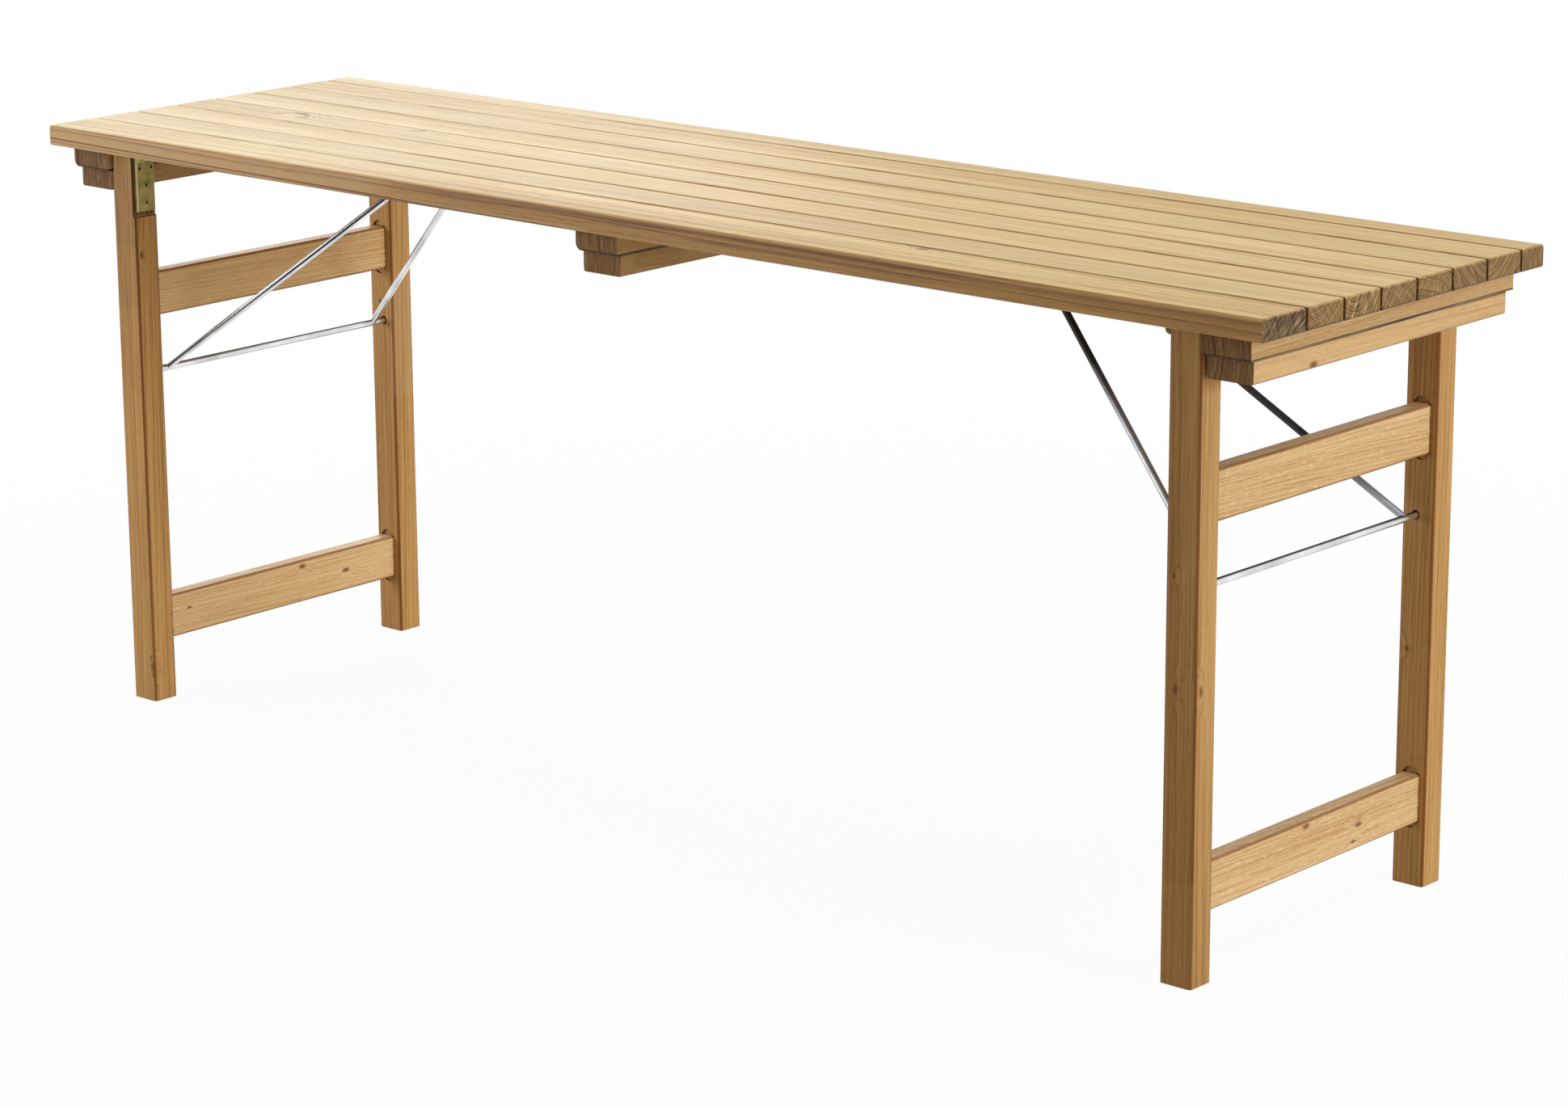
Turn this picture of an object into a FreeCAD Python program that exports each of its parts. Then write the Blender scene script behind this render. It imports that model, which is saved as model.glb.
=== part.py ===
import FreeCAD, Part
import math
import os

import Sketcher
from FreeCAD import Placement, Rotation, Vector

# Folding trestle table: a slatted wooden top on two hinged leg frames, each held by a steel-rod stay.
# Millimetres. X runs along the table, Y across it from the front (-Y) to the back, Z up.
# The origin lies on the floor under the middle of the top.

# Driving sizes. Each is set here once and read everywhere through its alias.
DRIVING = {
    # tabletop
    "table_length": 1800.0,
    "table_height": 710.0,
    "slat_width": 60.0,
    "front_slat_width": 72.0,
    "back_slat_width": 40.0,
    "slat_gap": 4.0,
    "slat_thickness": 24.0,
    "slat_edge_chamfer": 1.2,
    "table_edge_round": 4.0,
    "slat_end_chamfer": 1.5,
    # battens under the slats
    "batten_width": 62.0,
    "batten_thickness": 25.0,
    "batten_inset": 17.0,
    "batten_nosing": 8.0,
    "end_overhang": 25.5,
    "lower_batten_width": 56.0,
    "lower_batten_step": 9.0,
    "lower_batten_round": 3.0,
    # legs
    "leg_width": 40.0,
    "leg_depth": 35.0,
    "leg_inset": 22.0,
    "leg_round": 4.0,
    "leg_top_chamfer": 4.0,
    "leg_top_clearance": 0.4,
    "leg_stop_clearance": 0.3,
    # rails
    "rail_thickness": 22.0,
    "rail_height": 55.0,
    "rail_round": 4.0,
    "rail_setback": 8.0,
    "upper_rail_drop": 178.0,
    "lower_rail_level": 99.5,
    "housing_depth": 3.0,
    "mortise_depth": 20.0,
    "mortise_clearance": 0.1,
    # hinges
    "hinge_width": 28.0,
    "leaf_thickness": 6.0,
    "leaf_length": 66.0,
    "leaf_chamfer": 1.2,
    "knuckle_radius": 6.0,
    "knuckle_clearance": 0.3,
    "pin_radius": 3.0,
    "pin_clearance": 0.05,
    "rebate_depth": 4.5,
    "rebate_gap": 6.5,
    "rebate_side_gap": 0.5,
    "screw_pair_spacing": 18.0,
    "first_screw_drop": 13.0,
    "second_screw_drop": 34.0,
    "third_screw_drop": 55.0,
    # stays
    "rod_diameter": 8.0,
    "rod_clearance": 0.08,
    "stay_drop": 95.5,
    "stay_angle": 39.15,
    "bar_setback": 17.0,
    "bar_engagement": 18.0,
    "bar_end_play": 1.0,
    "bar_hole_chamfer": 1.5,
    "arm_foot_gap": 20.0,
    "nose_span": 77.0,
    "nose_overhang": 8.0,
    # keepers
    "keeper_sheet": 2.0,
    "keeper_clearance": 0.4,
    "keeper_width": 36.0,
    "keeper_length": 46.0,
    "keeper_wrap": 152.0,
    "detent_reach": 8.5,
    "detent_width": 14.0,
    "keeper_screw_start": 21.0,
    "keeper_screw_pitch": 16.0,
    # wood screws
    "screw_radius": 1.8,
    "screw_head_radius": 4.0,
    "screw_point": 4.0,
    "screw_clearance": 0.1,
    "screw_bite": 16.0,
}

INNER_SLATS = 6

# Sizes that follow from the driving ones.
DERIVED = {
    "half_length": "table_length / 2",
    "table_width": f"front_slat_width + {INNER_SLATS} * slat_width + back_slat_width"
                   f" + {INNER_SLATS + 1} * slat_gap",
    "slat_underside": "table_height - slat_thickness",
    "upper_batten_length": "table_width - 2 * batten_inset",
    "lower_batten_length": "upper_batten_length - 2 * lower_batten_step",
    "batten_seam": "slat_underside - batten_thickness",
    "batten_bottom": "batten_seam - batten_thickness",
    "end_batten_x": "half_length - end_overhang - batten_width / 2",
    "leg_outer_x": "end_batten_x - batten_width / 2 - leg_stop_clearance",
    "leg_x": "leg_outer_x - leg_width / 2",
    "leg_inner_x": "leg_outer_x - leg_width",
    "leg_y": "table_width / 2 - leg_inset - leg_depth / 2",
    "leg_inner_y": "leg_y - leg_depth / 2",
    "leg_length": "slat_underside - leg_top_clearance",
    "rail_x": "leg_outer_x - rail_setback - rail_thickness / 2",
    "upper_rail_level": "slat_underside - upper_rail_drop",
    "rail_length": "2 * (leg_inner_y + mortise_depth - mortise_clearance)",
    "mortise_width": "rail_thickness + 2 * mortise_clearance",
    "mortise_height": "rail_height + 2 * mortise_clearance",
    "housing_straight": "rail_height - 2 * rail_round",
    "hinge_offset": "knuckle_radius + knuckle_clearance",
    "pin_x": "leg_inner_x + rebate_depth - hinge_offset",
    "pin_z": "slat_underside - hinge_offset",
    "knuckle_room": "knuckle_radius + knuckle_clearance",
    "knuckle_length": "(hinge_width - knuckle_clearance) / 2",
    "rebate_height": "hinge_offset - leg_top_clearance + leaf_length + rebate_gap",
    "rod_radius": "rod_diameter / 2",
    "bar_x": "leg_inner_x + bar_setback",
    "stay_level": "upper_rail_level - stay_drop",
    "bar_length": "2 * (leg_inner_y + bar_engagement)",
    "nose_room": "rod_radius + keeper_clearance",
    "nose_z": "slat_underside - keeper_sheet - nose_room",
    "stay_rise": "nose_z - stay_level",
    "stay_slant": "stay_rise / sin(stay_angle)",
    "nose_x": "bar_x - stay_rise / tan(stay_angle)",
    "nose_length": "nose_span + 2 * nose_overhang",
    "arm_foot_y": "leg_inner_y - arm_foot_gap",
    "screw_head_depth": "screw_head_radius - screw_radius",
    "batten_screw_length": "2 * batten_thickness + screw_bite",
    "leaf_screw_length": "leaf_thickness + screw_bite",
    "keeper_screw_length": "keeper_sheet + screw_bite",
}

doc = FreeCAD.newDocument("folding_trestle_table")
sheet = doc.addObject("Spreadsheet::Sheet", "sizes")
cells = [(alias, str(size)) for alias, size in DRIVING.items()]
cells += [(alias, "=" + formula) for alias, formula in DERIVED.items()]
for row, (alias, text) in enumerate(cells, start=1):
    sheet.set(f"A{row}", alias)
    sheet.set(f"B{row}", text)
    sheet.setAlias(f"B{row}", alias)
doc.recompute()

FRONT, BACK = -1, 1
LEFT, RIGHT = -1, 1
SIDE_NAMES = {LEFT: "left", RIGHT: "right"}
ROW_NAMES = {FRONT: "front", BACK: "back"}

nodes = []


def size(alias):
    """The current value of a cell, in millimetres or degrees."""
    return float(sheet.get(alias))


def signed(sign, alias):
    """An expression for a cell, negated where sign is -1."""
    return f"{sign} * sizes.{alias}"


def place(piece, x="0", y="0", z="0", side=LEFT):
    """Stand a finished piece in the table. Right-hand pieces are left-hand ones turned half round."""
    turn = 0 if side == LEFT else 180
    piece.Placement = Placement(Vector(), Rotation(Vector(0, 0, 1), turn))
    for axis, expression in (("x", x), ("y", y), ("z", z)):
        piece.setExpression(f"Placement.Base.{axis}", expression)
    nodes.append(piece)


def new_body(label):
    body = doc.addObject("PartDesign::Body", label)
    body.Label = label
    return body


def sketch_on(body, role, offset=None, flipped=False):
    """A sketch on one of the body's own origin planes, shifted along the plane's normal."""
    plane = next(feature for feature in body.Origin.OriginFeatures if feature.Role == role)
    sketch = body.newObject("Sketcher::SketchObject", "sketch")
    sketch.AttachmentSupport = [(plane, "")]
    sketch.MapMode = "FlatFace"
    if flipped:
        sketch.AttachmentOffset = Placement(Vector(), Rotation(Vector(1, 0, 0), 180))
    if offset:
        sketch.setExpression("AttachmentOffset.Base.z", offset)
    return sketch


def dimension(sketch, kind, where, expression):
    """Add a dimension between points, or on one curve, and bind it to an expression."""
    index = sketch.addConstraint(Sketcher.Constraint(kind, *where, 1.0))
    sketch.setExpression(f"Constraints[{index}]", expression)


def rectangle(sketch, left, bottom, width, height):
    """An upright rectangle whose corner and sides are given by expressions."""
    corners = [Vector(0, 0), Vector(1, 0), Vector(1, 1), Vector(0, 1)]
    first = sketch.GeometryCount
    for start, end in zip(corners, corners[1:] + corners[:1]):
        sketch.addGeometry(Part.LineSegment(start, end), False)
    for step in range(4):
        here, after = first + step, first + (step + 1) % 4
        sketch.addConstraint(Sketcher.Constraint("Coincident", here, 2, after, 1))
        sketch.addConstraint(Sketcher.Constraint("Vertical" if step % 2 else "Horizontal", here))
    dimension(sketch, "DistanceX", (first, 1, first, 2), width)
    dimension(sketch, "DistanceY", (first + 1, 1, first + 1, 2), height)
    dimension(sketch, "DistanceX", (-1, 1, first, 1), left)
    dimension(sketch, "DistanceY", (-1, 1, first, 1), bottom)


def circle(sketch, across, up, radius):
    """A circle whose centre and radius are given by expressions."""
    index = sketch.addGeometry(Part.Circle(Vector(0, 0), Vector(0, 0, 1), 1.0), False)
    dimension(sketch, "Radius", (index,), radius)
    dimension(sketch, "DistanceX", (-1, 1, index, 3), across)
    dimension(sketch, "DistanceY", (-1, 1, index, 3), up)


def upright_slot(sketch, across, up, width, straight):
    """A slot with round ends: two arcs joined by upright tangent lines, centred on a given point."""
    top = sketch.addGeometry(Part.ArcOfCircle(Part.Circle(Vector(0, 1), Vector(0, 0, 1), 1), 0, math.pi))
    left = sketch.addGeometry(Part.LineSegment(Vector(-1, 1), Vector(-1, -1)))
    low = sketch.addGeometry(
        Part.ArcOfCircle(Part.Circle(Vector(0, -1), Vector(0, 0, 1), 1), math.pi, 2 * math.pi))
    right = sketch.addGeometry(Part.LineSegment(Vector(1, -1), Vector(1, 1)))
    for joint in ((top, 2, left, 1), (left, 2, low, 1), (low, 2, right, 1), (right, 2, top, 1)):
        sketch.addConstraint(Sketcher.Constraint("Tangent", *joint))
    sketch.addConstraint(Sketcher.Constraint("Vertical", left))
    sketch.addConstraint(Sketcher.Constraint("Equal", top, low))
    dimension(sketch, "Radius", (top,), f"{width} / 2")
    dimension(sketch, "DistanceY", (low, 3, top, 3), straight)
    dimension(sketch, "DistanceX", (-1, 1, low, 3), across)
    dimension(sketch, "DistanceY", (-1, 1, low, 3), f"{up} - {straight} / 2")


def pad(body, sketch, length, symmetric=True):
    feature = body.newObject("PartDesign::Pad", "pad")
    feature.Profile = sketch
    feature.SideType = "Symmetric" if symmetric else "One side"
    feature.setExpression("Length", length)
    doc.recompute()
    return feature


def pocket(body, sketch, length, symmetric=True, reversed_cut=False):
    """Cut a sketch into the body, and stop if the cut removes nothing."""
    before = body.Shape.Volume
    feature = body.newObject("PartDesign::Pocket", "pocket")
    feature.Profile = sketch
    feature.SideType = "Symmetric" if symmetric else "One side"
    feature.Reversed = reversed_cut
    feature.setExpression("Length", length)
    doc.recompute()
    if body.Shape.Volume >= before:
        raise RuntimeError(f"a pocket in {body.Label} cuts nothing")
    return feature


def dress(body, kind, base, chosen, amount):
    """Fillet or chamfer the edges of a feature that a test picks out."""
    names = [f"Edge{number}" for number, edge in enumerate(base.Shape.Edges, start=1) if chosen(edge)]
    if not names:
        raise RuntimeError(f"no edge of {body.Label} fits its {kind}")
    feature = body.newObject(f"PartDesign::{kind}", kind.lower())
    feature.Base = (base, names)
    feature.setExpression("Radius" if kind == "Fillet" else "Size", amount)
    doc.recompute()
    return feature


def runs_along(edge, axis):
    """True for a straight edge along one axis."""
    box = edge.BoundBox
    spans = {"x": box.XLength, "y": box.YLength, "z": box.ZLength}
    along = spans.pop(axis)
    return along > 1e-6 and max(spans.values()) < 1e-6


# Slats: planed boards along X, with their upper long edges eased and their ends chamfered all round. The
# front and back ones have a full round along the edge of the table, and are eased below it as well.
def slat(label, width, centre_y, table_edge=None):
    body = new_body(label)
    section = sketch_on(body, "YZ_Plane")
    rectangle(section, f"-{width} / 2", "0", width, "sizes.slat_thickness")
    board = pad(body, section, "sizes.table_length")
    half, top = board.Shape.BoundBox.YMax, board.Shape.BoundBox.ZMax

    def at_corner(edge, row, level):
        box = edge.BoundBox
        return runs_along(edge, "x") and abs(box.YMax - row * half) < 1e-6 and abs(box.ZMax - level) < 1e-6

    eased = {(FRONT, top), (BACK, top)}
    if table_edge:
        board = dress(body, "Fillet", board, lambda edge: at_corner(edge, table_edge, top),
                      "sizes.table_edge_round")
        eased = {(-table_edge, top), (table_edge, 0)}
    board = dress(body, "Chamfer", board, lambda edge: any(at_corner(edge, *corner) for corner in eased),
                  "sizes.slat_edge_chamfer")
    dress(body, "Chamfer", board, lambda edge: edge.BoundBox.XLength < 1e-6, "sizes.slat_end_chamfer")
    place(body, y=centre_y, z="sizes.slat_underside")


# From the front edge: one wide slat, the inner slats, and a narrow one ripped to fit at the back.
slat("slat_1", "sizes.front_slat_width", "-sizes.table_width / 2 + sizes.front_slat_width / 2", FRONT)
for number in range(INNER_SLATS):
    start = "-sizes.table_width / 2 + sizes.front_slat_width + sizes.slat_gap"
    step = f"{number} * (sizes.slat_width + sizes.slat_gap)"
    slat(f"slat_{number + 2}", "sizes.slat_width", f"{start} + {step} + sizes.slat_width / 2")
slat(f"slat_{INNER_SLATS + 2}", "sizes.back_slat_width",
     "sizes.table_width / 2 - sizes.back_slat_width / 2", BACK)


# Battens: two layers across the slats at each end and in the middle. The upper one has a nosing along
# its lower -X edge, the lower one is narrower and its ends step back.
def upper_batten(label, centre_x):
    body = new_body(label)
    section = sketch_on(body, "XZ_Plane")
    rectangle(section, "-sizes.batten_width / 2", "0", "sizes.batten_width", "sizes.batten_thickness")
    board = pad(body, section, "sizes.upper_batten_length")
    dress(body, "Fillet", board,
          lambda edge: runs_along(edge, "y") and edge.BoundBox.ZMax < 1e-6 and edge.BoundBox.XMax < 0,
          "sizes.batten_nosing")
    place(body, x=centre_x, z="sizes.batten_seam")


def lower_batten(label, centre_x):
    body = new_body(label)
    section = sketch_on(body, "XZ_Plane")
    rectangle(section, "-sizes.lower_batten_width / 2", "0",
              "sizes.lower_batten_width", "sizes.batten_thickness")
    board = pad(body, section, "sizes.lower_batten_length")
    dress(body, "Fillet", board,
          lambda edge: runs_along(edge, "y") and edge.BoundBox.ZMax < 1e-6,
          "sizes.lower_batten_round")
    place(body, x=centre_x, z="sizes.batten_bottom")


BATTEN_PLACES = {"left": "-sizes.end_batten_x", "middle": "0", "right": "sizes.end_batten_x"}
for name, centre in BATTEN_PLACES.items():
    upper_batten(f"{name}_upper_batten", centre)
    lower_batten(f"{name}_lower_batten", centre)


# Legs: square-planed bars with rounded corners. The inboard face is rebated at the top for the hinge
# leaf, right across on the left-hand legs and stopped on the right-hand ones. The face towards the other
# leg has a shallow round-ended housing and a square mortise for each rail, and the hole of the stay's bar.
def leg(side, row):
    body = new_body(f"{SIDE_NAMES[side]}_{ROW_NAMES[row]}_leg")
    section = sketch_on(body, "XY_Plane")
    rectangle(section, "-sizes.leg_width / 2", "-sizes.leg_depth / 2", "sizes.leg_width", "sizes.leg_depth")
    bar = pad(body, section, "sizes.leg_length", symmetric=False)
    rounded = dress(body, "Fillet", bar, lambda edge: runs_along(edge, "z"), "sizes.leg_round")
    top = size("leg_length")
    dress(body, "Chamfer", rounded,
          lambda edge: runs_along(edge, "y") and edge.BoundBox.ZMin > top - 1e-6 and edge.BoundBox.XMax < 0,
          "sizes.leg_top_chamfer")

    rebate = sketch_on(body, "XZ_Plane")
    rectangle(rebate, "sizes.leg_width / 2 - sizes.rebate_depth", "sizes.leg_length - sizes.rebate_height",
              "2 * sizes.rebate_depth", "2 * sizes.rebate_height")
    stopped = "sizes.hinge_width + 2 * sizes.rebate_side_gap"
    pocket(body, rebate, "2 * sizes.leg_depth" if side == LEFT else stopped)

    # In the piece's own frame the other leg lies towards +Y or -Y.
    towards = -row if side == LEFT else row
    face = signed(-towards, "leg_depth") + " / 2"
    rail_across = "sizes.leg_x - sizes.rail_x"
    for level in ("upper_rail_level", "lower_rail_level"):
        housing = sketch_on(body, "XZ_Plane", offset=face)
        upright_slot(housing, rail_across, f"sizes.{level}", "sizes.mortise_width", "sizes.housing_straight")
        pocket(body, housing, "sizes.housing_depth", symmetric=False, reversed_cut=towards > 0)
        mortise = sketch_on(body, "XZ_Plane", offset=face)
        rectangle(mortise, f"{rail_across} - sizes.mortise_width / 2",
                  f"sizes.{level} - sizes.mortise_height / 2", "sizes.mortise_width", "sizes.mortise_height")
        pocket(body, mortise, "sizes.mortise_depth", symmetric=False, reversed_cut=towards > 0)
    bar_across = "sizes.leg_x - sizes.bar_x"
    bore = sketch_on(body, "XZ_Plane", offset=face)
    circle(bore, bar_across, "sizes.stay_level", "sizes.rod_radius + sizes.rod_clearance")
    hole = pocket(body, bore, "sizes.bar_engagement + sizes.bar_end_play", symmetric=False,
                  reversed_cut=towards > 0)
    mouth = towards * size("leg_depth") / 2
    dress(body, "Chamfer", hole,
          lambda edge: edge.isClosed() and abs(edge.BoundBox.Center.y - mouth) < 1e-6,
          "sizes.bar_hole_chamfer")
    place(body, signed(side, "leg_x"), signed(row, "leg_y"), side=side)


# Rails: boards between the legs, let into the mortises with their full section.
def rail(side, name, level):
    body = new_body(f"{SIDE_NAMES[side]}_{name}_rail")
    section = sketch_on(body, "XZ_Plane")
    rectangle(section, "-sizes.rail_thickness / 2", "-sizes.rail_height / 2",
              "sizes.rail_thickness", "sizes.rail_height")
    board = pad(body, section, "sizes.rail_length")
    dress(body, "Fillet", board, lambda edge: runs_along(edge, "y"), "sizes.rail_round")
    place(body, signed(side, "rail_x"), z=level, side=side)


for side in (LEFT, RIGHT):
    leg(side, FRONT)
    leg(side, BACK)
    rail(side, "upper", "sizes.upper_rail_level")
    rail(side, "lower", "sizes.lower_rail_level")


# Wood screws: countersunk heads on plain pointed shanks, six-sided because there are many of them.
# They are gathered into one group for each place where they are driven.
SCREW_SIDES = 6
UP = Vector(0, 0, 1)
OUTBOARD = Vector(-1, 0, 0)
driven = {"batten_screws": [], "top_leaf_screws": [], "keeper_screws": [],
          "left_hinge_screws": [], "right_hinge_screws": []}


def many_sided(radius, height):
    """The corners of a regular outline, closed by its first corner."""
    turns = [2 * math.pi * step / SCREW_SIDES for step in range(SCREW_SIDES + 1)]
    return [Vector(radius * math.cos(turn), radius * math.sin(turn), height) for turn in turns]


def wood_screw(length, head_at, direction, clearance=0.0):
    """A screw, or with a clearance the room it needs, with its flat head at head_at."""
    shank_radius = size("screw_radius") + clearance
    head = many_sided(size("screw_head_radius") + clearance, 0)
    neck = many_sided(shank_radius, size("screw_head_depth"))
    shoulder = many_sided(shank_radius, length - size("screw_point"))
    point = Vector(0, 0, length)
    outlines = [head]
    for here, after in zip(range(SCREW_SIDES), range(1, SCREW_SIDES + 1)):
        outlines.append([head[here], head[after], neck[after], neck[here], head[here]])
        outlines.append([neck[here], neck[after], shoulder[after], shoulder[here], neck[here]])
        outlines.append([shoulder[here], shoulder[after], point, shoulder[here]])
    faces = [Part.Face(Part.makePolygon(outline)) for outline in outlines]
    screw = Part.Solid(Part.makeShell(faces))
    screw.Placement = Placement(head_at, Rotation(UP, direction))
    return screw


def screw_down(blank, label, heads, direction, length, group, where):
    """Cut a plate's countersunk holes with the room its screws need, place it and drive the screws."""
    room = doc.addObject("Part::Feature", "screw_room")
    clearance = size("screw_clearance")
    room.Shape = Part.makeCompound([wood_screw(length, head, direction, clearance) for head in heads])
    plate = doc.addObject("Part::Cut", label)
    plate.Label = label
    plate.Base = blank
    plate.Tool = room
    place(plate, **where)
    doc.recompute()
    for head in heads:
        screw = wood_screw(length, head, direction)
        screw.Placement = plate.Placement * screw.Placement
        driven[group].append(screw)


def batten_screws():
    """One long screw up through each pair of battens into each slat, in the middle of their overlap."""
    half_batten = size("lower_batten_length") / 2
    slats = [piece for piece in nodes if piece.Label.startswith("slat_")]
    battens = [piece for piece in nodes if piece.Label.endswith("lower_batten")]
    for board in slats:
        box = board.Shape.BoundBox
        y = (max(box.YMin, -half_batten) + min(box.YMax, half_batten)) / 2
        for batten in battens:
            head = Vector(batten.Shape.BoundBox.Center.x, y, size("batten_bottom"))
            driven["batten_screws"].append(wood_screw(size("batten_screw_length"), head, UP))


batten_screws()

# Hinges: thick steel leaves that interlock on a pin. In each leaf's own frame the pin lies on the Y axis,
# +X points inboard and the slats lie hinge_offset above. Screws stand at a share of their pair's spacing
# across the leaf and at a distance from the pin.
LEG_LEAF_SCREWS = [(-0.5, "first_screw_drop"), (0.5, "first_screw_drop"),
                   (0, "second_screw_drop"), (0, "third_screw_drop")]
TOP_LEAF_SCREWS = [(-0.5, "first_screw_drop"), (0.5, "third_screw_drop")]


def hinge_place(side, row):
    return {"x": signed(side, "pin_x"), "y": signed(row, "leg_y"), "z": "sizes.pin_z", "side": side}


def bore_knuckle(body):
    bore = sketch_on(body, "XZ_Plane")
    circle(bore, "0", "0", "sizes.pin_radius + sizes.pin_clearance")
    pocket(body, bore, "2 * sizes.hinge_width")


def leg_leaf(side, row):
    """The leaf let into the leg, with its knuckle on the -Y half and a notch for the other leaf's."""
    blank = new_body("leg_leaf_blank")
    plate = sketch_on(blank, "XZ_Plane")
    rectangle(plate, "-sizes.hinge_offset", "-sizes.leaf_length", "sizes.leaf_thickness", "sizes.leaf_length")
    flat = pad(blank, plate, "sizes.hinge_width")
    face = size("leaf_thickness") - size("hinge_offset")
    dress(blank, "Chamfer", flat,
          lambda edge: edge.BoundBox.XMin > face - 1e-6 and edge.BoundBox.ZMin < -1e-6, "sizes.leaf_chamfer")
    seam = "sizes.knuckle_clearance / 2"
    notch = sketch_on(blank, "XZ_Plane", offset=seam)
    circle(notch, "0", "0", "sizes.knuckle_room")
    pocket(blank, notch, "sizes.hinge_width", symmetric=False)
    knuckle = sketch_on(blank, "XZ_Plane", offset=seam)
    circle(knuckle, "0", "0", "sizes.knuckle_radius")
    pad(blank, knuckle, "sizes.knuckle_length", symmetric=False)
    bore_knuckle(blank)
    heads = [Vector(face, share * size("screw_pair_spacing"), -size(drop)) for share, drop in LEG_LEAF_SCREWS]
    screw_down(blank, f"{SIDE_NAMES[side]}_{ROW_NAMES[row]}_hinge_leg_leaf", heads, OUTBOARD,
               size("leaf_screw_length"), f"{SIDE_NAMES[side]}_hinge_screws", hinge_place(side, row))


def top_leaf(side, row):
    """The leaf under the slats, with its knuckle on the +Y half and a notch for the other leaf's."""
    blank = new_body("top_leaf_blank")
    plate = sketch_on(blank, "XZ_Plane")
    rectangle(plate, "0", "sizes.hinge_offset - sizes.leaf_thickness",
              "sizes.leaf_length", "sizes.leaf_thickness")
    flat = pad(blank, plate, "sizes.hinge_width")
    face = size("hinge_offset") - size("leaf_thickness")
    dress(blank, "Chamfer", flat,
          lambda edge: edge.BoundBox.ZMax < face + 1e-6 and edge.BoundBox.XMax > 1e-6, "sizes.leaf_chamfer")
    notch = sketch_on(blank, "XZ_Plane", offset="-sizes.knuckle_clearance / 2")
    circle(notch, "0", "0", "sizes.knuckle_room")
    pocket(blank, notch, "sizes.hinge_width", symmetric=False, reversed_cut=True)
    knuckle = sketch_on(blank, "XZ_Plane", offset="-sizes.hinge_width / 2")
    circle(knuckle, "0", "0", "sizes.knuckle_radius")
    pad(blank, knuckle, "sizes.knuckle_length", symmetric=False)
    bore_knuckle(blank)
    heads = [Vector(size(drop), share * size("screw_pair_spacing"), face) for share, drop in TOP_LEAF_SCREWS]
    screw_down(blank, f"{SIDE_NAMES[side]}_{ROW_NAMES[row]}_hinge_top_leaf", heads, UP,
               size("leaf_screw_length"), "top_leaf_screws", hinge_place(side, row))


def hinge_pin(side, row):
    pin = doc.addObject("Part::Cylinder", "hinge_pin")
    pin.Label = f"{SIDE_NAMES[side]}_{ROW_NAMES[row]}_hinge_pin"
    pin.setExpression("Radius", "sizes.pin_radius")
    pin.setExpression("Height", "sizes.hinge_width")
    place(pin, signed(side, "pin_x"), signed(row, "leg_y") + " + sizes.hinge_width / 2", "sizes.pin_z")
    pin.Placement.Rotation = Rotation(Vector(1, 0, 0), 90)


for side in (LEFT, RIGHT):
    for row in (FRONT, BACK):
        leg_leaf(side, row)
        top_leaf(side, row)
        hinge_pin(side, row)


# Stays: two arms that draw together, welded between a bar that turns in the legs and a short nose bar
# under the slats. In a stay's own plane u runs up the slant from the bar's axis and v runs along Y.
def slanted(u, v):
    """A point of the stay's plane, set at its slant with the bar's axis at the origin."""
    slope = math.radians(size("stay_angle"))
    return Vector(u * math.cos(slope), v, u * math.sin(slope))


def rod_between(start, end):
    return Part.makeCylinder(size("rod_radius"), (end - start).Length, start, end - start)


def cross_rod(label, length, x, z):
    """A bar along Y, centred on the table."""
    bar = doc.addObject("Part::Cylinder", "cross_rod")
    bar.Label = label
    bar.setExpression("Radius", "sizes.rod_radius")
    bar.setExpression("Height", f"sizes.{length}")
    place(bar, x, f"sizes.{length} / 2", z)
    bar.Placement.Rotation = Rotation(Vector(1, 0, 0), 90)


def stay_arm(side, row):
    """A straight arm, coped over the bar at its foot and the nose at its top."""
    own_row = row if side == LEFT else -row
    reach = size("stay_slant")
    half_bar = size("bar_length") / 2
    half_nose = size("nose_length") / 2
    rod = rod_between(slanted(0, own_row * size("arm_foot_y")), slanted(reach, own_row * size("nose_span") / 2))
    bar = rod_between(slanted(0, -half_bar), slanted(0, half_bar))
    nose = rod_between(slanted(reach, -half_nose), slanted(reach, half_nose))
    arm = doc.addObject("Part::Feature", "stay_arm")
    arm.Label = f"{SIDE_NAMES[side]}_stay_{ROW_NAMES[row]}_arm"
    arm.Shape = max(rod.cut([bar, nose]).Solids, key=lambda solid: solid.Volume)
    place(arm, signed(side, "bar_x"), z="sizes.stay_level", side=side)


# Keepers: a spring-steel strip under the slats, curled round the outboard side of the stay's nose, with
# a low detent ridge inboard of it. In its own frame the nose's axis is Y and +X points inboard.
KEEPER_SCREWS = 2


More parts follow.
